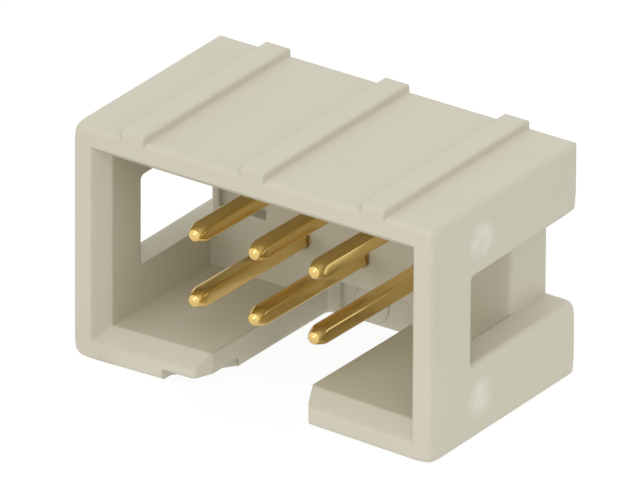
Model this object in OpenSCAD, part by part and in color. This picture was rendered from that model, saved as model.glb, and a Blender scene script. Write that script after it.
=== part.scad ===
// Straight six-way box header: a moulded shroud around two rows of three square posts.
// It lies on the long wall with the key slot: +Z is up, the mouth faces -Y, the solder tails point to +Y.
// The origin is under the middle of the whole part. Depths below are measured from the plane of the mouth.

/* [Contacts] */
// Distance between neighbouring posts, along and across the rows
pitch = 2.54; // [2.5:0.01:2.6]
// Height of the middle between the two rows above the lower face
rows_z = 4.6; // [4.5:0.02:4.7]
// Width of a square post across its flats
post_w = 0.64; // [0.6:0.01:0.68]
// Radius of the four lengthwise edges of a post
post_edge_r = 0.14; // [0.08:0.01:0.18]
// Distance that the mating tip stays behind the mouth
tip_setback = 0.05; // [0:0.05:1]
// Length of the curved taper at the mating tip
tip_len = 0.7; // [0.5:0.05:1.2]
// Width of a post where its curved taper meets the dome
tip_w = 0.48; // [0.32:0.02:0.5]
// Height of the dome on the mating tip
tip_dome = 0.16; // [0.05:0.01:0.16]
// Length of a solder tail behind the seat
tail_len = 3; // [2:0.1:5]
// Width of a solder tail at its very end
tail_end_w = 0.3; // [0.2:0.02:0.5]
// Length of the bevels at the end of a solder tail
tail_bevel = 0.35; // [0.1:0.05:0.8]

/* [Shroud] */
// Length along the rows
shroud_l = 15.24; // [15:0.01:16]
// Height across the rows, without the ribs
shroud_h = 9.04; // [8.9:0.02:9.4]
// Depth from the mouth to the seat
shroud_d = 8.96; // [8.9:0.02:9.3]
// Thickness of the end walls behind the lead-in
end_wall = 1.22; // [1.1:0.02:1.3]
// Thickness of the long walls behind the lead-in
long_wall = 1.22; // [1.1:0.02:1.3]
// Thickness of the end walls at the mouth
end_lip = 0.78; // [0.7:0.02:1]
// Thickness of the long walls at the mouth
long_lip = 0.74; // [0.6:0.02:1]
// Depth of the lead-in bevel inside the mouth
lead_in = 0.7; // [0.4:0.05:1]
// Radius of the outer edges
edge_r = 0.2; // [0.1:0.02:0.3]
// Radius of the upright corners at the back on the right
back_corner_r = 0.14; // [0.1:0.02:0.3]
// Radius of the upright corners at the back on the left
left_corner_r = 0.44; // [0.1:0.02:0.5]
// Radius of the edges along the back of the long walls
back_edge_r = 0.2; // [0.1:0.02:0.3]

/* [Base] */
// Depth of the base front
base_front = 6.7; // [6.5:0.05:6.8]
// Distance that the back of the base stays short of the seat
base_recess = 0.1; // [0.05:0.05:0.2]
// Diameter of the round socket around the root of a post
socket_dia = 0.82; // [0.8:0.02:1]
// Depth of the round socket
socket_d = 0.15; // [0.1:0.05:0.9]
// Radius of the base's upright corners in the end notches
base_corner_r = 0.14; // [0.1:0.01:0.25]
// Distance from the middle of the part to the near side of the end pocket
pocket_near = 4.03; // [3.9:0.01:4.2]
// Width of the end pocket
pocket_w = 2.02; // [1.6:0.02:2.1]
// Width of the deeper stretch of the end pocket
pocket_deep_w = 1.2; // [1:0.05:1.5]
// Height of the end pocket
pocket_h = 1.84; // [1.2:0.02:2]
// Depth of the end pocket
pocket_d = 0.2; // [0.1:0.05:0.4]
// Depth added by the deeper stretch
pocket_step = 0.4; // [0.2:0.05:0.6]

/* [Ribs] */
// Width of a rib on the upper wall
rib_w = 1; // [0.8:0.05:1.2]
// Height of a rib above the wall
rib_h = 0.3; // [0.2:0.02:0.32]
// Radius of the two upper edges of a rib
rib_edge_r = 0.12; // [0.05:0.01:0.15]
// Distance between neighbouring ribs
rib_pitch = 5.08; // [4.8:0.02:5.2]

/* [Key slot] */
// Width of the key slot
slot_w = 4.26; // [4.1:0.02:4.5]
// Width added on each side where the slot opens at the mouth
slot_flare = 0.29; // [0.1:0.01:0.35]
// Depth of the flared stretch
slot_flare_d = 0.75; // [0.4:0.05:1]
// Depth at which the slot ends inside the base
slot_end = 7.9; // [7.6:0.05:8]
// Height of the slot where it runs into the base
slot_h = 2.08; // [1.9:0.02:2.2]
// Radius of the two far corners of the slot
slot_corner_r = 0.2; // [0.1:0.05:0.4]
// Radius of the slot's outer rim and of its two edges at the mouth
slot_rim_r = 0.22; // [0.1:0.02:0.26]
// Width of the groove in the far end of the slot
groove_w = 3.34; // [2.8:0.02:3.36]
// Depth that the groove adds to the slot
groove_d = 0.22; // [0.2:0.02:0.4]
// Diameter of the round pad on the far end of the groove
pad_dia = 1.46; // [1.2:0.02:1.46]
// Height of the pad
pad_h = 0.04; // [0.04:0.01:0.2]
// Distance of the pad from the middle of the groove
pad_offset = 0.45; // [0.2:0.05:0.7]
// Distance of the middle of the pad from the lower face
pad_z = 0.76; // [0.74:0.02:1.2]

/* [End notches] */
// Depth at which the notches start
notch_start = 2.4; // [2.2:0.05:2.8]
// Lower side of the notches
notch_z0 = 2.86; // [2.6:0.01:3]
// Upper side of the notches
notch_z1 = 6.38; // [6.2:0.02:6.5]
// Radius of the two front corners of a notch
notch_corner_r = 0.2; // [0.1:0.02:0.4]
// Radius of the two back corners that face each other across a notch
arm_corner_r = 0.2; // [0.1:0.05:0.5]
// Radius of the outer edge along the lower arm
arm_edge_r = 0.22; // [0.1:0.01:0.25]

/* [Marks] */
// Distance of the first-contact mark from the middle of the part
mark_x = 2.3; // [2.2:0.02:2.6]
// Half the width of the mark at the mouth
mark_half_w = 1.5; // [1.2:0.02:1.8]
// Length of the mark's straight sides
mark_side = 0.55; // [0.1:0.05:0.8]
// Length of the mark to its point
mark_len = 2.5; // [2:0.05:2.8]
// Depth of the mark
mark_d = 0.42; // [0.2:0.02:0.6]
// Diameter of the two ejector marks on the right end wall
ejector_dia = 1.45; // [1.2:0.05:1.5]
// Depth of the ejector marks
ejector_d = 0.01; // [0.01:0.01:0.1]
// Distance of the ejector marks from the mouth
ejector_y = 3.05; // [2:0.05:4]
// Distance of the ejector marks from the lower and upper faces
ejector_inset = 1.48; // [1:0.02:1.6]

/* [Hidden] */
$fn = 48;
// Cutters run this far past the faces that they open
over = 1;
columns = 3;
rows = 2;
total_d = shroud_d + tail_len;
half_l = shroud_l / 2;
cavity_half_l = half_l - end_wall;
mouth_half_l = half_l - end_lip;
base_back = shroud_d - base_recess;
slot_half_w = slot_w / 2;
rib_base = shroud_h - 2 * edge_r;
plastic = [0.79, 0.765, 0.695];
gold = [0.72, 0.56, 0.3];

// Turns an outline drawn in depth and height into a bar along X
module along_x(x0, x1) {
    translate([x0, 0, 0])
        rotate([90, 0, 90])
            linear_extrude(x1 - x0)
                children();
}

// Turns an outline drawn in length and height into a bar along Y
module along_y(y0, y1) {
    translate([0, y1, 0])
        rotate([90, 0, 0])
            linear_extrude(y1 - y0)
                children();
}

// Turns an outline drawn in length and depth into a bar along Z
module along_z(z0, z1) {
    translate([0, 0, z0])
        linear_extrude(z1 - z0)
            children();
}

// Draws the same thing at both ends of the housing
module both_ends() {
    children();
    mirror([1, 0, 0])
        children();
}

// The sliver outside a round corner that points to +X and +Y, with its sharp corner at the origin
module corner_sliver(r) {
    difference() {
        translate([-r, -r])
            square(r + over);
        translate([-r, -r])
            circle(r);
    }
}

// A rectangle from one corner to the other, with a radius for each corner, anticlockwise from the first one.
// A corner with no radius stays sharp.
module rounded_box(from, to, radii) {
    corners = [from, [to.x, from.y], to, [from.x, to.y]];
    difference() {
        translate(from)
            square(to - from);
        for (i = [0 : 3])
            if (radii[i] > 0)
                translate(corners[i])
                    rotate(180 + 90 * i)
                        corner_sliver(radii[i]);
    }
}

// Outer block: each of its three outlines rounds the edges along one axis
module outer_block() {
    intersection() {
        along_y(0, shroud_d)
            rounded_box([-half_l, 0], [half_l, shroud_h], [edge_r, edge_r, edge_r, edge_r]);
        along_z(-over, shroud_h + over)
            rounded_box([-half_l, 0], [half_l, shroud_d], [edge_r, edge_r, back_corner_r, left_corner_r]);
        along_x(-half_l - over, half_l + over)
            rounded_box([0, 0], [shroud_d, shroud_h], [edge_r, back_edge_r, back_edge_r, edge_r]);
    }
}

// One rib on the upper wall, with its two ends rounded like the wall itself
module rib() {
    intersection() {
        along_y(0, shroud_d)
            rounded_box([-rib_w / 2, rib_base], [rib_w / 2, shroud_h + rib_h], [0, 0, rib_edge_r, rib_edge_r]);
        along_x(-rib_w, rib_w)
            rounded_box([0, rib_base - over], [shroud_d, shroud_h + rib_h], [0, 0, back_edge_r, edge_r]);
    }
}

module ribs() {
    for (i = [-1 : 1])
        translate([i * rib_pitch, 0, 0])
            rib();
}

// Bevel that leads a plug into the mouth: two wedge-shaped bars that cross, so its corners are mitred
module lead_in_bevel() {
    end_slope = (end_wall - end_lip) / lead_in;
    long_slope = (long_wall - long_lip) / lead_in;
    intersection() {
        along_z(-over, shroud_h + over)
            polygon([
                [-mouth_half_l - end_slope * over, -over],
                [mouth_half_l + end_slope * over, -over],
                [cavity_half_l, lead_in],
                [-cavity_half_l, lead_in]
            ]);
        along_x(-shroud_l, shroud_l)
            polygon([
                [-over, long_lip - long_slope * over],
                [lead_in, long_wall],
                [lead_in, shroud_h - long_wall],
                [-over, shroud_h - long_lip + long_slope * over]
            ]);
    }
}

// Outline of the room between the four walls
module inner_outline() {
    translate([-cavity_half_l, long_wall])
        square([2 * cavity_half_l, shroud_h - 2 * long_wall]);
}

// The room for the plug, from the mouth to the base front
module cavity() {
    lead_in_bevel();
    along_y(lead_in / 2, base_front)
        inner_outline();
}

// Outline of the key slot seen from below: flared at the mouth, with round corners at the far end,
// where a narrower groove runs on
module slot_outline() {
    mouth_half_w = slot_half_w + slot_flare;
    flare_slope = slot_flare / slot_flare_d;
    r = slot_corner_r;
    rounded_box([-slot_half_w, 0], [slot_half_w, slot_end], [0, 0, r, r]);
    polygon([
        [-mouth_half_w - flare_slope * over, -over],
        [mouth_half_w + flare_slope * over, -over],
        [slot_half_w, slot_flare_d],
        [-slot_half_w, slot_flare_d]
    ]);
    translate([-groove_w / 2, slot_end - over])
        square([groove_w, over + groove_d]);
}

// Rounds one edge of the flare where it meets the front face. The circle touches both faces, so it starts
// this far from their corner: its radius over the tangent of half the angle between them.
module flare_edge() {
    flare_angle = atan(slot_flare / slot_flare_d);
    r = slot_rim_r;
    reach = r / tan((90 + flare_angle) / 2);
    corner = [slot_half_w + slot_flare, 0];
    start = corner + reach * [-sin(flare_angle), cos(flare_angle)];
    centre = [corner.x + reach, r];
    difference() {
        polygon([[corner.x, -over], [centre.x, -over], centre, start, corner]);
        translate(centre)
            circle(r);
    }
}

// The sliver outside the slot's rim, with its sharp corner at the origin and the wall to its upper right
module rim_sliver() {
    rotate(180)
        corner_sliver(slot_rim_r);
}

// Rounds the outer rim of one side of the slot: the flare, the straight side, the far corner and the
// short end beside the groove
module slot_rim() {
    r = slot_corner_r;
    translate([slot_half_w, slot_flare_d, 0])
        rotate([0, 0, atan(slot_flare / slot_flare_d)])
            along_y(-slot_flare_d - over, 0)
                rim_sliver();
    along_y(slot_flare_d, slot_end - r)
        translate([slot_half_w, 0])
            rim_sliver();
    translate([slot_half_w - r, slot_end - r, 0])
        rotate_extrude(angle = 90)
            intersection() {
                translate([r, 0])
                    rim_sliver();
                translate([0, -over])
                    square(2 * over);
            }
    along_x(groove_w / 2, slot_half_w - r)
        translate([slot_end, 0])
            rim_sliver();
}

// Key slot in the lower wall, which runs on into the base
module key_slot() {
    along_z(-over, slot_h)
        slot_outline();
    both_ends() {
        slot_rim();
        along_z(-over, slot_h)
            flare_edge();
    }
}

// Round pad that an ejector leaves on the far end of the groove
module ejector_pad() {
    translate([-pad_offset, slot_end + groove_d, pad_z])
        rotate([90, 0, 0])
            translate([0, 0, -over / 2])
                cylinder(h = over / 2 + pad_h, d = pad_dia);
}

// Notch through one end wall, open at the back, so that each end wall ends in an upper and a lower arm
module end_notch() {
    r = notch_corner_r;
    along_x(cavity_half_l, half_l + over) {
        rounded_box([notch_start, notch_z0], [shroud_d + over, notch_z1], [r, 0, 0, r]);
        translate([shroud_d, notch_z0])
            corner_sliver(arm_corner_r);
        translate([shroud_d, notch_z1])
            rotate(-90)
                corner_sliver(arm_corner_r);
    }
    along_y(notch_start + r, shroud_d + over)
        translate([half_l, notch_z0])
            corner_sliver(arm_edge_r);
    along_z(notch_z0, notch_z1)
        translate([cavity_half_l, base_front])
            rotate(-90)
                corner_sliver(base_corner_r);
}

// Shallow pocket near the left end of the base front, with a deeper stretch on its inner side
module end_pocket() {
    z0 = (shroud_h - pocket_h) / 2;
    along_z(z0, z0 + pocket_h) {
        translate([-pocket_near - pocket_w, base_front - over])
            square([pocket_w, over + pocket_d]);
        translate([-pocket_near - pocket_deep_w, base_front - over])
            square([pocket_deep_w, over + pocket_d + pocket_step]);
    }
}

// Shallow recess that sets the back of the base behind the ends of the walls
module back_recess() {
    along_y(base_back, shroud_d + over)
        inner_outline();
}

// Pointed recess in the lower wall, beside the first contact, which points away from the mouth
module first_contact_mark() {
    w = mark_half_w;
    translate([-mark_x, 0, 0])
        along_z(-over, mark_d)
            polygon([[-w, -over], [w, -over], [w, mark_side], [0, mark_len], [-w, mark_side]]);
}

// Round marks that the mould's ejectors leave on the right end wall, above and below its notch
module ejector_marks() {
    for (z = [ejector_inset, shroud_h - ejector_inset])
        translate([half_l - ejector_d, ejector_y, z])
            rotate([0, 90, 0])
                cylinder(h = over, d = ejector_dia);
}

// Odd contacts are in the row beside the key slot, even ones in the row above them
function post_x(n) = (floor((n - 1) / rows) - (columns - 1) / 2) * pitch;
function post_z(n) = rows_z + ((n - 1) % rows - (rows - 1) / 2) * pitch;

// Section of a post, the same as that of the hole which holds it
module post_section() {
    h = post_w / 2;
    r = post_edge_r;
    rounded_box([-h, -h], [h, h], [r, r, r, r]);
}

// Outline of a post seen from the side, with its length along Y: a dome, a long curved taper on two arcs
// that run tangent into the flats, and two bevels at the tail
module post_outline() {
    h = post_w / 2;
    narrowing = (post_w - tip_w) / 2;
    taper_r = (tip_len * tip_len + narrowing * narrowing) / (2 * narrowing);
    dome_r = (tip_w * tip_w / 4 + tip_dome * tip_dome) / (2 * tip_dome);
    dome_y = tip_setback + tip_dome;
    flat_y = dome_y + tip_len;
    intersection() {
        union() {
            translate([0, tip_setback + dome_r])
                circle(dome_r);
            translate([-h, dome_y])
                square([post_w, total_d]);
        }
        union() {
            intersection_for (side = [-1, 1])
                translate([side * (taper_r - h), flat_y])
                    circle(taper_r, $fn = 96);
            translate([-h, flat_y])
                square([post_w, total_d]);
        }
        polygon([
            [-h, 0],
            [h, 0],
            [h, total_d - tail_bevel],
            [tail_end_w / 2, total_d],
            [-tail_end_w / 2, total_d],
            [-h, total_d - tail_bevel]
        ]);
    }
}

// A square post, shaped alike on its four sides
module post() {
    intersection() {
        along_y(0, total_d)
            post_section();
        along_z(-post_w, post_w)
            post_outline();
        rotate([0, 90, 0])
            along_z(-post_w, post_w)
                post_outline();
    }
}

// Hole for one post: a wider round socket at the base front, and a close hole from there to the back
module post_hole() {
    along_y(base_front - over, base_front + socket_d)
        circle(d = socket_dia);
    along_y(base_front, shroud_d + over)
        post_section();
}

module housing() {
    color(plastic)
        translate([0, -total_d / 2, 0])
            difference() {
                union() {
                    difference() {
                        union() {
                            outer_block();
                            ribs();
                        }
                        key_slot();
                    }
                    ejector_pad();
                }
                cavity();
                both_ends()
                    end_notch();
                end_pocket();
                back_recess();
                first_contact_mark();
                ejector_marks();
                for (n = [1 : rows * columns])
                    translate([post_x(n), 0, post_z(n)])
                        post_hole();
            }
}

module pin(n) {
    color(gold)
        translate([post_x(n), -total_d / 2, post_z(n)])
            post();
}

housing();
for (n = [1 : rows * columns])
    pin(n);
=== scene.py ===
"""Looks of a straight six-way box header, lying on its keyed wall on a plain pale floor.

Lengths in the dataclasses are millimetres. Everything that is put into Blender is in metres, in the part's
own frame: +X along the rows, +Y from the mouth to the solder tails, +Z up.
"""
import logging
import math
from collections.abc import Callable
from dataclasses import dataclass
from enum import Enum
from typing import Any

import bmesh
import bpy
import numpy as np
from mathutils import Matrix, Quaternion, Vector


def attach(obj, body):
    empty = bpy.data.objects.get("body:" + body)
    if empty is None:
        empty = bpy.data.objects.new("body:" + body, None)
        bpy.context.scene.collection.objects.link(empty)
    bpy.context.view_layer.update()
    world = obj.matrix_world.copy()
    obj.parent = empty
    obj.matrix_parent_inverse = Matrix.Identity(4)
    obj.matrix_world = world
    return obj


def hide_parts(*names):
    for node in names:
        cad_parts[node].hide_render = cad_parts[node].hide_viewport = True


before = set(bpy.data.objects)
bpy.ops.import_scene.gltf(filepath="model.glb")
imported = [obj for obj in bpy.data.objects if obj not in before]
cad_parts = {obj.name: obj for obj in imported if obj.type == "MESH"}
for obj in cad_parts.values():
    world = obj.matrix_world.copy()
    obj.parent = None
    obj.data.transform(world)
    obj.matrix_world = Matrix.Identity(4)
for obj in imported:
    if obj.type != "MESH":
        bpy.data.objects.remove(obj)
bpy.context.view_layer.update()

MM = 0.001
BODY = "root"
# Front of the base, where the posts stand, along Y in millimetres.
ROOT_Y = 0.72
# Points of a CAD mesh that are nearer than this count as one, in millimetres.
JOIN_DISTANCE = 0.001
# Keeps a division off zero.
TINY = 1e-9
WHITE = "#ffffff"
log = logging.getLogger("box_header")


class Slot(Enum):
    """Material slots of the part's record."""

    MOULDING = "moulding"
    CONTACT = "contact"


class Ray(Enum):
    """Outputs of the Light Path node, one for each kind of ray."""

    CAMERA = "Is Camera Ray"
    DIFFUSE = "Is Diffuse Ray"
    GLOSSY = "Is Glossy Ray"
    TRANSMISSION = "Is Transmission Ray"


def linear(hex_colour: str) -> tuple[float, float, float, float]:
    """Turns an sRGB hex colour into the linear values that shaders take.

    Each channel follows the sRGB curve: v / 12.92 up to 0.04045, and ((v + 0.055) / 1.055) ** 2.4 above it.

    Args:
        hex_colour: Six hex digits, with or without a leading hash.

    Returns:
        Linear red, green and blue, and an alpha of one.
    """
    digits = hex_colour.lstrip("#")
    srgb = np.array([int(digits[i : i + 2], 16) for i in (0, 2, 4)]) / 255.0
    values = np.where(srgb <= 0.04045, srgb / 12.92, ((srgb + 0.055) / 1.055) ** 2.4)
    return (*(float(v) for v in values), 1.0)


def add_node(
    tree: bpy.types.NodeTree, kind: str, inputs: dict[str | int, Any] | None = None, **settings: Any
) -> bpy.types.Node:
    """Adds one shader node with its settings and links.

    Args:
        tree: Node tree that takes the node.
        kind: Blender's type name of the node.
        inputs: For each input's name or number, the value it holds or the output socket that feeds it.
        **settings: Properties of the node itself.

    Returns:
        The new node.
    """
    node = tree.nodes.new(kind)
    for key, value in settings.items():
        setattr(node, key, value)
    for key, value in (inputs or {}).items():
        if isinstance(value, bpy.types.NodeSocket):
            tree.links.new(value, node.inputs[key])
        else:
            node.inputs[key].default_value = value
    return node


def new_material(name: str) -> tuple[bpy.types.Material, bpy.types.NodeTree]:
    """Makes an empty node material.

    Args:
        name: Name of the material.

    Returns:
        The material and its node tree.
    """
    material = bpy.data.materials.new(name)
    material.use_nodes = True
    material.node_tree.nodes.clear()
    return material, material.node_tree


def dress(piece: bpy.types.Object, material: bpy.types.Material) -> None:
    """Gives a piece one material and drops those it had.

    Args:
        piece: A mesh object.
        material: The material for all of its faces.
    """
    piece.data.materials.clear()
    piece.data.materials.append(material)


def box(piece: bpy.types.Object) -> tuple[Vector, Vector]:
    """Finds the box around a piece.

    Args:
        piece: A mesh object.

    Returns:
        Its lowest and highest corners, in millimetres.
    """
    corners = np.array([piece.matrix_world @ Vector(corner) for corner in piece.bound_box]) / MM
    return Vector(corners.min(axis=0)), Vector(corners.max(axis=0))


def smooth(values: np.ndarray) -> np.ndarray:
    """Eases values between 0 and 1 with level ends: s * s * (3 - 2 * s).

    Args:
        values: Any numbers. Those below 0 count as 0 and those above 1 as 1.

    Returns:
        The eased values, also between 0 and 1.
    """
    s = np.clip(values, 0, 1)
    return s * s * (3 - 2 * s)


def read_points(mesh: bpy.types.Mesh) -> np.ndarray:
    """Reads the points of a mesh.

    Args:
        mesh: The mesh.

    Returns:
        Their places in millimetres, one in each row.
    """
    points = np.empty(3 * len(mesh.vertices))
    mesh.vertices.foreach_get("co", points)
    return points.reshape(-1, 3) / MM


def write_points(mesh: bpy.types.Mesh, points: np.ndarray) -> None:
    """Moves the points of a mesh.

    Args:
        mesh: The mesh.
        points: Their new places in millimetres, one in each row.
    """
    mesh.vertices.foreach_set("co", (points * MM).ravel())


def background_share(tree: bpy.types.NodeTree, shares: tuple[tuple[Ray, float], ...]) -> bpy.types.NodeSocket:
    """Adds nodes that tell how much of the bright background a ray sees.

    Args:
        tree: Node tree that takes the nodes.
        shares: The share for each kind of ray. Other kinds see nothing of it.

    Returns:
        The socket that holds the share.
    """
    path = add_node(tree, "ShaderNodeLightPath")
    total: Any = 0.0
    for ray, share in shares:
        inputs = {0: path.outputs[ray.value], 1: share, 2: total}
        total = add_node(tree, "ShaderNodeMath", inputs, operation="MULTIPLY_ADD").outputs[0]
    return total


def merged_copy(
    piece: bpy.types.Object,
    settle: Callable[[np.ndarray], np.ndarray],
    cuts: list[tuple[Vector, Vector]],
) -> tuple[bpy.types.Mesh, np.ndarray]:
    """Copies the mesh of a CAD node, joins its loose triangles and cuts them along planes.

    Args:
        piece: The CAD node.
        settle: Gives the points their places before they are joined, in millimetres.
        cuts: A point and a normal for each plane, in metres. The cuts only add points for a later shaping.

    Returns:
        The merged copy, and the true normal of the surface at each corner of its faces.
    """
    mesh = piece.data.copy()
    normals = np.empty(3 * len(mesh.loops), dtype=np.float32)
    mesh.corner_normals.foreach_get("vector", normals)
    mesh.attributes.new("true_normal", "FLOAT_VECTOR", "CORNER").data.foreach_set("vector", normals)
    write_points(mesh, settle(read_points(mesh)))
    solid = bmesh.new()
    solid.from_mesh(mesh)
    bmesh.ops.remove_doubles(solid, verts=solid.verts, dist=JOIN_DISTANCE * MM)
    for point, normal in cuts:
        everything = [*solid.verts, *solid.edges, *solid.faces]
        bmesh.ops.bisect_plane(
            solid, geom=everything, dist=JOIN_DISTANCE * MM, plane_co=point, plane_no=normal
        )
    bmesh.ops.triangulate(solid, faces=solid.faces)
    solid.to_mesh(mesh)
    solid.free()
    normals = np.empty(3 * len(mesh.loops), dtype=np.float32)
    mesh.attributes["true_normal"].data.foreach_get("vector", normals)
    mesh.attributes.remove(mesh.attributes["true_normal"])
    return mesh, normals.reshape(-1, 3)


def grid_faces(rings: int, around: int) -> np.ndarray:
    """Quads of a tube whose vertices are numbered ring after ring.

    The corners of quad (i, j) are vertex (i, j), its neighbour round the ring, and the same two on the next
    ring; the last column wraps to the first.

    Args:
        rings: Number of rings.
        around: Vertices in each ring.

    Returns:
        Vertex numbers, one row of four for each quad.
    """
    i, j = np.meshgrid(np.arange(rings - 1), np.arange(around), indexing="ij")
    after = (j + 1) % around
    corners = [i * around + j, (i + 1) * around + j, (i + 1) * around + after, i * around + after]
    return np.stack(corners, axis=-1).reshape(-1, 4)


@dataclass(frozen=True)
class MouldedPolyester:
    """Glass-filled polyester, injection moulded in a spark-eroded steel tool.

    It gives the eye an even, dry, light warm grey with a very fine grain, a faint cloudiness where the glass
    fibres swirled, and soft edges. Where ejectors rubbed it, it is chalky and pale, and its grain is coarser.

    A range holds the levels of a noise between which its effect grows from none to full. The chalk's share is
    its least and its greatest cover.
    """

    colour: str = "#c8c3b0"
    roughness: float = 0.56
    ior: float = 1.55
    edge_radius: float = 0.13
    edge_samples: int = 8
    noise_roughness: float = 0.6
    cloud_colour: str = "#c4bfaa"
    cloud_size: float = 2.4
    cloud_detail: float = 4.0
    cloud_range: tuple[float, float] = (0.42, 0.75)
    cloud_share: float = 0.4
    grain_size: float = 0.09
    grain_detail: float = 2.0
    grain_height: float = 0.004
    chalk_colour: str = "#dedacd"
    chalk_radius: float = 0.84
    chalk_fade: float = 0.42
    chalk_grain: float = 0.7
    chalk_detail: float = 3.0
    chalk_range: tuple[float, float] = (0.38, 0.6)
    chalk_share: tuple[float, float] = (0.35, 0.7)
    chalk_height: float = 2.0

    def noise(
        self, tree: bpy.types.NodeTree, place: bpy.types.NodeSocket, size: float, detail: float
    ) -> bpy.types.NodeSocket:
        """Adds a noise.

        Args:
            tree: Node tree that takes the node.
            place: Object coordinates.
            size: Size of its largest patches, in millimetres.
            detail: Number of finer layers.

        Returns:
            The noise's level.
        """
        return add_node(
            tree,
            "ShaderNodeTexNoise",
            {"Vector": place, "Scale": 1 / (size * MM), "Detail": detail, "Roughness": self.noise_roughness},
        ).outputs[0]

    def chalk(
        self, tree: bpy.types.NodeTree, place: bpy.types.NodeSocket, spot: tuple[float, float, float]
    ) -> bpy.types.NodeSocket:
        """Adds the mask of one round rubbed mark: one inside its radius, falling to nothing at its edge.

        Args:
            tree: Node tree that takes the nodes.
            place: Object coordinates.
            spot: Middle point of the mark, in millimetres.

        Returns:
            The mask.
        """
        middle = tuple(value * MM for value in spot)
        away = add_node(tree, "ShaderNodeVectorMath", {0: place, 1: middle}, operation="DISTANCE")
        return add_node(
            tree,
            "ShaderNodeMapRange",
            {
                "Value": away.outputs["Value"],
                "From Min": self.chalk_radius * MM,
                "From Max": (self.chalk_radius - self.chalk_fade) * MM,
            },
        ).outputs[0]

    def material(self, chalk_spots: list[tuple[float, float, float]]) -> bpy.types.Material:
        """Builds the material.

        Args:
            chalk_spots: Middle points, in millimetres, of the round rubbed marks.

        Returns:
            The finished material.
        """
        material, tree = new_material("moulded_glass_filled_polyester")
        place = add_node(tree, "ShaderNodeTexCoord").outputs["Object"]
        clouds = self.noise(tree, place, self.cloud_size, self.cloud_detail)
        grain = self.noise(tree, place, self.grain_size, self.grain_detail)
        flecks = self.noise(tree, place, self.chalk_grain, self.chalk_detail)
        cloudiness = add_node(
            tree,
            "ShaderNodeMapRange",
            {
                "Value": clouds,
                "From Min": self.cloud_range[0],
                "From Max": self.cloud_range[1],
                "To Max": self.cloud_share,
            },
        )
        colour = add_node(
            tree,
            "ShaderNodeMix",
            {"Factor": cloudiness.outputs[0], "A": linear(self.colour), "B": linear(self.cloud_colour)},
            data_type="RGBA",
        )
        rubbed: Any = 0.0
        for spot in chalk_spots:
            mask = self.chalk(tree, place, spot)
            rubbed = add_node(tree, "ShaderNodeMath", {0: rubbed, 1: mask}, operation="MAXIMUM").outputs[0]
        patchy = add_node(
            tree,
            "ShaderNodeMapRange",
            {
                "Value": flecks,
                "From Min": self.chalk_range[0],
                "From Max": self.chalk_range[1],
                "To Min": self.chalk_share[0],
                "To Max": self.chalk_share[1],
            },
        )
        chalky = add_node(tree, "ShaderNodeMath", {0: rubbed, 1: patchy.outputs[0]}, operation="MULTIPLY")
        pale = add_node(
            tree,
            "ShaderNodeMix",
            {"Factor": chalky.outputs[0], "A": colour.outputs["Result"], "B": linear(self.chalk_colour)},
            data_type="RGBA",
        )
        height = add_node(
            tree,
            "ShaderNodeMath",
            {0: chalky.outputs[0], 1: self.chalk_height, 2: grain},
            operation="MULTIPLY_ADD",
        )
        rounded = add_node(
            tree, "ShaderNodeBevel", {"Radius": self.edge_radius * MM}, samples=self.edge_samples
        )
        bump = add_node(
            tree,
            "ShaderNodeBump",
            {"Height": height.outputs[0], "Distance": self.grain_height * MM, "Normal": rounded.outputs[0]},
        )
        surface = add_node(
            tree,
            "ShaderNodeBsdfPrincipled",
            {
                "Base Color": pale.outputs["Result"],
                "Roughness": self.roughness,
                "IOR": self.ior,
                "Normal": bump.outputs[0],
            },
        )
        add_node(tree, "ShaderNodeOutputMaterial", {"Surface": surface.outputs[0]})
        return material


@dataclass(frozen=True)
class GoldPlating:
    """Hard gold plated over drawn square wire.

    It gives the eye a warm satin metal with faint draw lines along its length, drawn as coarse as they need to
    be to show.
    """

    colour: str = "#ebca7f"
    roughness: float = 0.17
    line_width: float = 0.03
    line_stretch: float = 40.0
    line_detail: float = 2.0
    line_height: float = 0.0004

    def material(self) -> bpy.types.Material:
        """Builds the material.

        Returns:
            The finished material.
        """
        material, tree = new_material("gold_plated_wire")
        place = add_node(tree, "ShaderNodeTexCoord").outputs["Object"]
        stretched = add_node(
            tree, "ShaderNodeMapping", {"Vector": place, "Scale": (1.0, 1 / self.line_stretch, 1.0)}
        )
        lines = add_node(
            tree,
            "ShaderNodeTexNoise",
            {
                "Vector": stretched.outputs[0],
                "Scale": 1 / (self.line_width * MM),
                "Detail": self.line_detail,
            },
        )
        bump = add_node(
            tree, "ShaderNodeBump", {"Height": lines.outputs[0], "Distance": self.line_height * MM}
        )
        surface = add_node(
            tree,
            "ShaderNodeBsdfPrincipled",
            {
                "Base Color": linear(self.colour),
                "Metallic": 1.0,
                "Roughness": self.roughness,
                "Normal": bump.outputs[0],
            },
        )
        add_node(tree, "ShaderNodeOutputMaterial", {"Surface": surface.outputs[0]})
        return material


@dataclass(frozen=True)
class Lamp:
    """A far lamp.

    The direction points from the part to the lamp, the strength is in watts per square metre, and the angle is
    how wide the lamp looks, in degrees.
    """

    name: str
    towards: tuple[float, float, float]
    strength: float
    angle: float

    def build(self) -> None:
        """Adds the lamp to the scene."""
        data = bpy.data.lights.new(self.name, "SUN")
        data.energy = self.strength
        data.angle = math.radians(self.angle)
        lamp = bpy.data.objects.new(self.name, data)
        lamp.rotation_mode = "QUATERNION"
        lamp.rotation_quaternion = Vector(self.towards).to_track_quat("Z", "Y")
        bpy.context.scene.collection.objects.link(lamp)


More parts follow.
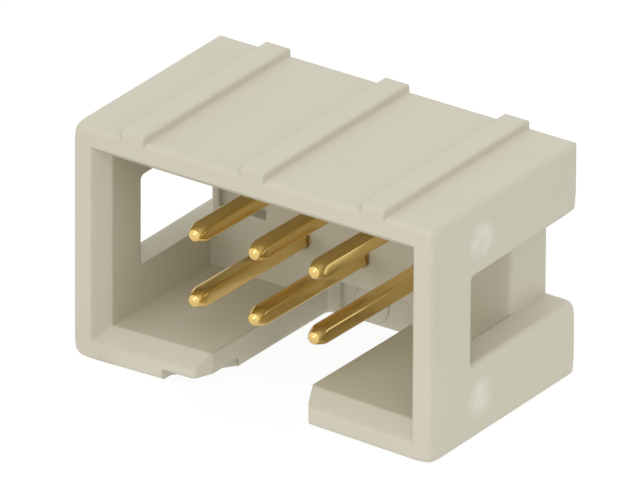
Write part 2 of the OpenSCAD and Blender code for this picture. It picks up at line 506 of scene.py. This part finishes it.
@dataclass
class Studio:
    """Plain pale floor, soft light all round, and the camera.

    The camera stands at the photograph's viewing angle and looks at the middle of the shroud. The scale is the
    number of pixels for each millimetre at the target. The shares say how much of the bright background each
    kind of ray sees.
    """

    azimuth: float = 34.545
    elevation: float = 26.008
    roll: float = 0.329
    distance: float = 660.7
    scale: float = 28.565
    target: tuple[float, float, float] = (0.0, -1.48, 4.5)
    target_pixel: tuple[float, float] = (324.6, 248.58)
    image_size: tuple[int, int] = (640, 480)
    sensor: float = 36.0
    clip: tuple[float, float] = (10.0, 3000.0)
    floor_size: float = 900.0
    floor_colour: str = "#f4f4f2"
    floor_glow: float = 1.03
    floor_shares: tuple[tuple[Ray, float], ...] = (
        (Ray.CAMERA, 0.9),
        (Ray.GLOSSY, 0.25),
        (Ray.TRANSMISSION, 0.86),
        (Ray.DIFFUSE, 0.75),
    )
    dome_shares: tuple[tuple[Ray, float], ...] = (
        (Ray.CAMERA, 1.0),
        (Ray.GLOSSY, 1.0),
        (Ray.TRANSMISSION, 1.0),
    )
    dome_strength: float = 0.92
    lamps: tuple[Lamp, ...] = (
        Lamp("key_softbox", (0.25, -0.66, 0.78), 0.5, 40.0),
        Lamp("right_softbox", (1.0, -0.1, 0.3), 0.12, 60.0),
        Lamp("small_low_lamp", (-0.2, -0.98, 0.09), 0.28, 14.0),
    )

    def camera(self) -> None:
        """Makes the camera.

        The pixels for each millimetre at the target, times the distance, give the focal length in pixels. The
        aim point is the target moved within the picture plane by the target's own distance from the middle of
        the picture.
        """
        a, e = math.radians(self.azimuth), math.radians(self.elevation)
        back = Vector((math.sin(a) * math.cos(e), -math.cos(a) * math.cos(e), math.sin(e)))
        turn = Quaternion(back, math.radians(self.roll))
        right = turn @ Vector((math.cos(a), math.sin(a), 0.0))
        up = back.cross(right)
        target = Vector(self.target)
        offset_x = (self.target_pixel[0] - self.image_size[0] / 2) / self.scale
        offset_y = (self.target_pixel[1] - self.image_size[1] / 2) / self.scale
        aim = target - right * offset_x + up * offset_y
        data = bpy.data.cameras.new("camera")
        data.sensor_width = self.sensor
        data.lens = self.scale * self.distance * self.sensor / self.image_size[0]
        data.clip_start, data.clip_end = (distance * MM for distance in self.clip)
        camera = bpy.data.objects.new("camera", data)
        bpy.context.scene.collection.objects.link(camera)
        camera.location = (target + back * self.distance) * MM
        camera.rotation_mode = "QUATERNION"
        view = (aim - target - back * self.distance).normalized()
        upright = (up - view * up.dot(view)).normalized()
        axes = Matrix((view.cross(upright), upright, -view)).transposed()
        camera.rotation_quaternion = axes.to_quaternion()
        bpy.context.scene.camera = camera

    def floor(self) -> None:
        """Lays a square pale floor that stays white to the camera and keeps the object's soft shadow."""
        h = self.floor_size * MM / 2
        mesh = bpy.data.meshes.new("floor")
        mesh.from_pydata([(-h, -h, 0), (h, -h, 0), (h, h, 0), (-h, h, 0)], [], [(0, 1, 2, 3)])
        floor = bpy.data.objects.new("floor", mesh)
        bpy.context.scene.collection.objects.link(floor)
        material, tree = new_material("white_paper_sweep")
        paper = add_node(tree, "ShaderNodeBsdfDiffuse", {"Color": linear(self.floor_colour)})
        glow = add_node(tree, "ShaderNodeEmission", {"Strength": self.floor_glow})
        share = background_share(tree, self.floor_shares)
        mixed = add_node(tree, "ShaderNodeMixShader", {0: share, 1: paper.outputs[0], 2: glow.outputs[0]})
        add_node(tree, "ShaderNodeOutputMaterial", {"Surface": mixed.outputs[0]})
        dress(floor, material)

    def light(self) -> None:
        """Lights the part with a white dome and the lamps."""
        world = bpy.data.worlds.new("white_dome")
        world.use_nodes = True
        tree = world.node_tree
        tree.nodes.clear()
        dome = add_node(tree, "ShaderNodeBackground", {"Color": linear(WHITE), "Strength": self.dome_strength})
        backdrop = add_node(tree, "ShaderNodeBackground", {"Color": linear(WHITE), "Strength": 1.0})
        share = background_share(tree, self.dome_shares)
        mixed = add_node(tree, "ShaderNodeMixShader", {0: share, 1: dome.outputs[0], 2: backdrop.outputs[0]})
        add_node(tree, "ShaderNodeOutputWorld", {"Surface": mixed.outputs[0]})
        bpy.context.scene.world = world
        for lamp in self.lamps:
            lamp.build()

    def build(self) -> None:
        """Builds the whole studio."""
        self.camera()
        self.floor()
        self.light()
        bpy.context.scene.view_settings.view_transform = "Standard"


@dataclass(frozen=True)
class Corner:
    """A corner where three outer faces of the moulding meet.

    The sides are +1 or -1 along each axis and point out of the plastic. The radius is that of the edges away
    from the corner and grows towards the corner. Lengths are in millimetres.
    """

    place: tuple[float, float, float]
    sides: tuple[float, float, float]
    edge_r: float
    corner_r: float


@dataclass
class Housing:
    """The moulded shroud: a copy of the CAD solid with what the tool and the cooling gave it.

    The corners at the mouth, and those at the back beside the right notch, are rounder than the edges that
    meet there. The lower wall bends up a little beside the key slot: the slot splits it, so each half is held
    only by its end wall and by the base. The two ejector marks are made flat, because the finish shows them as
    chalk, and the sockets around the posts are made shallower.

    A corner reaches as far as corner_reach along its edges. Points that would move less than least_move stay,
    and faces take the rounded normals where the cosine between the two is over skin_match. Points within
    socket_slack of the sockets' floor in the solid belong to that floor.
    """

    mouth_edge_r: float = 0.2
    mouth_corner_r: float = 0.34
    back_edge_r: float = 0.14
    back_corner_r: tuple[float, float, float] = (0.22, 0.28, 0.2)
    notch_z: tuple[float, float] = (2.86, 6.38)
    corner_reach: float = 0.7
    corner_cuts: int = 7
    level_digits: int = 4
    least_move: float = 0.0001
    skin_match: float = 0.5
    rib_h: float = 0.3
    bend: float = 0.12
    slot_half_w: float = 2.13
    inner_half_l: float = 6.4
    inner_z: float = 1.22
    socket_y: float = 0.87
    socket_d: float = 0.06
    socket_slack: float = 0.004
    mark_reach: float = 0.015
    chalk_y: float = -2.93
    chalk_z: tuple[float, float] = (1.48, 7.56)

    def corners(self, low: Vector, high: Vector) -> list[Corner]:
        """Lists the corners to be rounded.

        Args:
            low: Lowest corner of the walls, in millimetres.
            high: Highest corner of the walls, in millimetres.

        Returns:
            The four at the mouth, and the three at the back that the right notch leaves beside it.
        """
        mouth = [
            Corner((x, low.y, z), (side_x, -1.0, side_z), self.mouth_edge_r, self.mouth_corner_r)
            for x, side_x in ((low.x, -1.0), (high.x, 1.0))
            for z, side_z in ((low.z, -1.0), (high.z, 1.0))
        ]
        back = [
            Corner((high.x, high.y, z), (1.0, 1.0, side_z), self.back_edge_r, corner_r)
            for z, side_z, corner_r in zip((low.z, *self.notch_z), (-1.0, 1.0, -1.0), self.back_corner_r)
        ]
        return mouth + back

    def cuts(self, corners: list[Corner]) -> list[tuple[Vector, Vector]]:
        """Lists the planes that give the corners enough points to be rounded.

        Their levels are rounded, so that corners in line with each other share theirs.

        Args:
            corners: The corners.

        Returns:
            A point and a normal for each plane, in metres.
        """
        depths = self.corner_reach * np.linspace(0, 1, self.corner_cuts + 1)[1:]
        levels = {
            (axis, round(corner.place[axis] - corner.sides[axis] * float(depth), self.level_digits))
            for corner in corners
            for axis in range(3)
            for depth in depths
        }
        normals = Matrix.Identity(3)
        return [(normals[axis] * level * MM, normals[axis].copy()) for axis, level in sorted(levels)]

    def rounded(self, points: np.ndarray, corners: list[Corner]) -> tuple[np.ndarray, np.ndarray]:
        """Rounds the corners.

        With d the distances of a point from the three faces, and m the greatest of them, the radius is
        R = edge radius + (corner radius - edge radius) * ease(1 - m / reach). Where v = max(R - d, 0) is
        longer than R, the point moves along v onto the ball of that radius.

        Args:
            points: Places in millimetres, one in each row.
            corners: The corners.

        Returns:
            The new places, and the surface's normal where a point moved, or zero where it didn't.
        """
        turned = np.zeros_like(points)
        for corner in corners:
            place, sides = np.array(corner.place), np.array(corner.sides)
            d = (place - points) * sides
            m = d.max(axis=1, keepdims=True)
            radius = corner.edge_r + (corner.corner_r - corner.edge_r) * smooth(1 - m / self.corner_reach)
            v = np.maximum(radius - d, 0)
            length = np.maximum(np.linalg.norm(v, axis=1, keepdims=True), TINY)
            inside = (m < self.corner_reach) & (d.min(axis=1, keepdims=True) > -JOIN_DISTANCE)
            moved = inside & (length > radius + self.least_move)
            onto_ball = np.where(v > 0, radius - v * radius / length, d)
            points = np.where(moved, place - onto_ball * sides, points)
            turned = np.where(moved, v * sides / length, turned)
        return points, turned

    def lift(self, points: np.ndarray, mouth_y: float) -> np.ndarray:
        """Works out how far each point of the lower wall bends up.

        With s from 0 at the end wall to 1 beside the slot, and t from 0 at the base to 1 at the mouth, it is
        bend * s * t.

        Args:
            points: Places in millimetres, one in each row.
            mouth_y: Where the mouth is.

        Returns:
            The rise of each point, in millimetres.
        """
        from_end_wall = self.inner_half_l - np.abs(points[:, 0])
        s = np.clip(from_end_wall / (self.inner_half_l - self.slot_half_w), 0, 1)
        t = np.clip((ROOT_Y - points[:, 1]) / (ROOT_Y - mouth_y), 0, 1)
        in_wall = points[:, 2] < self.inner_z + self.bend / 2
        return self.bend * s * t * in_wall

    def settled(self, points: np.ndarray) -> np.ndarray:
        """Flattens the ejector marks and makes the sockets shallower.

        Whatever is nearer to the end face than the marks' reach goes out to that face, and the floors of the
        sockets go to their new depth.

        Args:
            points: Places in millimetres, one in each row.

        Returns:
            The new places.
        """
        x, y, z = points.T
        end = x.max()
        x = np.where(x > end - self.mark_reach, end, x)
        y = np.where(np.abs(y - self.socket_y) < self.socket_slack, ROOT_Y + self.socket_d, y)
        return np.stack([x, y, z], axis=1)

    def mesh(self, low: Vector, high: Vector) -> bpy.types.Mesh:
        """Shapes the copy of the CAD solid.

        A rounded corner takes the normals of its ball, but only on faces that already look about the same way,
        so that the walls of the notch keep theirs.

        Args:
            low: Lowest corner of the CAD housing's box, in millimetres.
            high: Highest corner of that box, in millimetres.

        Returns:
            The mesh, in metres.
        """
        walls_high = high - Vector((0, 0, self.rib_h))
        corners = self.corners(low, walls_high)
        mesh, normals = merged_copy(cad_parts["housing"], self.settled, self.cuts(corners))
        points, turned = self.rounded(read_points(mesh), corners)
        points[:, 2] += self.lift(points, low.y)
        write_points(mesh, points)
        corner_points = np.empty(len(mesh.loops), dtype=int)
        mesh.loops.foreach_get("vertex_index", corner_points)
        on_skin = (normals * turned[corner_points]).sum(axis=1, keepdims=True) > self.skin_match
        normals = np.where(on_skin, turned[corner_points], normals)
        soft = np.empty(len(mesh.polygons), dtype=bool)
        mesh.polygons.foreach_get("use_smooth", soft)
        soft |= on_skin.reshape(-1, 3).any(axis=1)
        mesh.polygons.foreach_set("use_smooth", soft)
        mesh.update()
        mesh.normals_split_custom_set(normals.tolist())
        return mesh

    def build(self) -> None:
        """Builds and dresses the shroud."""
        low, high = box(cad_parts["housing"])
        shroud = bpy.data.objects.new("shroud", self.mesh(low, high))
        bpy.context.scene.collection.objects.link(shroud)
        spots = [(high.x, self.chalk_y, z) for z in self.chalk_z]
        dress(shroud, MouldedPolyester().material(spots))
        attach(shroud, BODY)
        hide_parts("housing")
        log.info("shroud built, %d faces", len(shroud.data.polygons))


@dataclass
class Posts:
    """The square posts.

    Each is a rounded square carried along Y. Its half width grows from a round tip to the flats, and falls
    again over the bevels of the tail. In front of the base the posts lean up a little. The shoulder is where,
    behind the tip, the four edges show up; the turn of the cap is in degrees.
    """

    count: int = 6
    edge_r: float = 0.14
    cap_w: float = 0.48
    cap_len: float = 0.13
    cap_turn: float = 80.0
    cap_steps: int = 12
    tip_len: float = 0.66
    tip_steps: int = 24
    shoulder: tuple[float, float] = (0.08, 0.6)
    tail_half_w: float = 0.15
    tail_bevel: float = 0.35
    flat_steps: int = 11
    lean: float = 0.15
    corner_steps: int = 9
    merge_distance: float = 0.0001

    def rings(self, tip_y: float, tail_y: float, half_w: float) -> tuple[np.ndarray, np.ndarray, np.ndarray]:
        """Works out the rings along a post.

        The tip starts with a flat cap, part of an ellipse with a from nearly 0 to the cap's turn: distance =
        cap length * (1 - cos a), half width = half the cap's width * sin a. Behind it, with t from 0 to 1, the
        coined sides run tangent into the flats: half width = cap + (flat - cap) * (1 - (1 - t) ** 3). The
        corner radius is the whole half width before the shoulder and eases to that of the wire over it.

        Args:
            tip_y: Front end of the post.
            tail_y: Back end of the post.
            half_w: Half the width across its flats.

        Returns:
            Distance along Y, half width and corner radius of each ring.
        """
        a = np.radians(np.linspace(0, self.cap_turn, self.cap_steps + 1)[1:])
        cap_y, cap = self.cap_len * (1 - np.cos(a)), self.cap_w / 2 * np.sin(a)
        t = np.linspace(0, 1, self.tip_steps + 1)[1:]
        along = np.concatenate([cap_y, cap_y[-1] + (self.tip_len - cap_y[-1]) * t])
        tip = np.concatenate([cap, cap[-1] + (half_w - cap[-1]) * (1 - (1 - t) ** 3)])
        start, end = self.shoulder
        ease = smooth((along - start) / (end - start))
        flat = np.linspace(tip_y + self.tip_len, tail_y - self.tail_bevel, self.flat_steps + 1)[1:]
        y = np.concatenate([tip_y + along, flat, [tail_y]])
        half = np.concatenate([tip, np.full(len(flat), half_w), [self.tail_half_w]])
        flat_share = self.edge_r / half_w
        share = np.concatenate([1 - (1 - flat_share) * ease, np.full(len(flat) + 1, flat_share)])
        return y, half, half * share

    def outlines(self, half: np.ndarray, radius: np.ndarray) -> np.ndarray:
        """Draws the rounded square of each ring.

        With a the corner's own angle, each point is (half - radius) * the corner's signs + radius * (cos a,
        sin a).

        Args:
            half: Half width of each ring, in millimetres.
            radius: Corner radius of each ring, in millimetres.

        Returns:
            Places across and up, for each ring and each point around it.
        """
        a = np.radians(np.linspace(0, 90, self.corner_steps))[None, :] + np.radians(np.arange(4) * 90)[:, None]
        turned = np.stack([np.cos(a), np.sin(a)], axis=-1).reshape(-1, 2)
        signs = np.array([[1, 1], [-1, 1], [-1, -1], [1, -1]], dtype=float)
        corners = np.repeat(signs, self.corner_steps, axis=0)
        return (half - radius)[:, None, None] * corners + radius[:, None, None] * turned

    def mesh(self, name: str, low: Vector, high: Vector) -> bpy.types.Mesh:
        """Builds one post.

        Its rings are joined by quads, and each end closes on its middle. The lean lifts each ring by a
        straight line from nothing at the root to its full height at the tip. Where a ring is a circle, its
        corners meet, and their doubled points are merged.

        Args:
            name: Name of the mesh.
            low: Lowest corner of the CAD post's box, in millimetres.
            high: Highest corner of that box, in millimetres.

        Returns:
            The mesh, in metres.
        """
        middle = (low + high) / 2
        y, half, radius = self.rings(low.y, high.y, (high.x - low.x) / 2)
        lift = self.lean * np.clip((ROOT_Y - y) / (ROOT_Y - low.y), 0, 1)
        plane = self.outlines(half, radius)
        rings, around = plane.shape[:2]
        points = np.empty((rings, around, 3))
        points[..., 0] = middle.x + plane[..., 0]
        points[..., 1] = y[:, None]
        points[..., 2] = middle.z + plane[..., 1] + lift[:, None]
        ends = np.array([[middle.x, low.y, middle.z + self.lean], [middle.x, high.y, middle.z]])
        vertices = np.concatenate([points.reshape(-1, 3), ends]) * MM
        j = np.arange(around)
        after = (j + 1) % around
        last = (rings - 1) * around
        tip = np.stack([np.full(around, rings * around), j, after], axis=1)
        tail = np.stack([np.full(around, rings * around + 1), last + after, last + j], axis=1)
        mesh = bpy.data.meshes.new(name)
        faces = [*grid_faces(rings, around).tolist(), *tip.tolist(), *tail.tolist()]
        mesh.from_pydata(vertices, [], faces)
        merged = bmesh.new()
        merged.from_mesh(mesh)
        bmesh.ops.remove_doubles(merged, verts=merged.verts, dist=self.merge_distance * MM)
        merged.to_mesh(mesh)
        merged.free()
        mesh.polygons.foreach_set("use_smooth", np.ones(len(mesh.polygons), dtype=bool))
        mesh.validate()
        return mesh

    def build(self) -> None:
        """Builds and dresses the posts, each in the place of its CAD node."""
        material = GoldPlating().material()
        for n in range(1, self.count + 1):
            low, high = box(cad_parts[f"pin_{n}"])
            post = bpy.data.objects.new(f"post_{n}", self.mesh(f"post_{n}", low, high))
            bpy.context.scene.collection.objects.link(post)
            weighted = post.modifiers.new("flat_faces", "WEIGHTED_NORMAL")
            weighted.keep_sharp = True
            dress(post, material)
            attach(post, BODY)
            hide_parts(f"pin_{n}")
            log.info("post %d built", n)


def main() -> None:
    """Builds the studio and dresses the pieces, in order."""
    logging.basicConfig(level=logging.INFO, format="%(name)s: %(message)s")
    Studio().build()
    Housing().build()
    Posts().build()


if __name__ == "__main__":
    main()
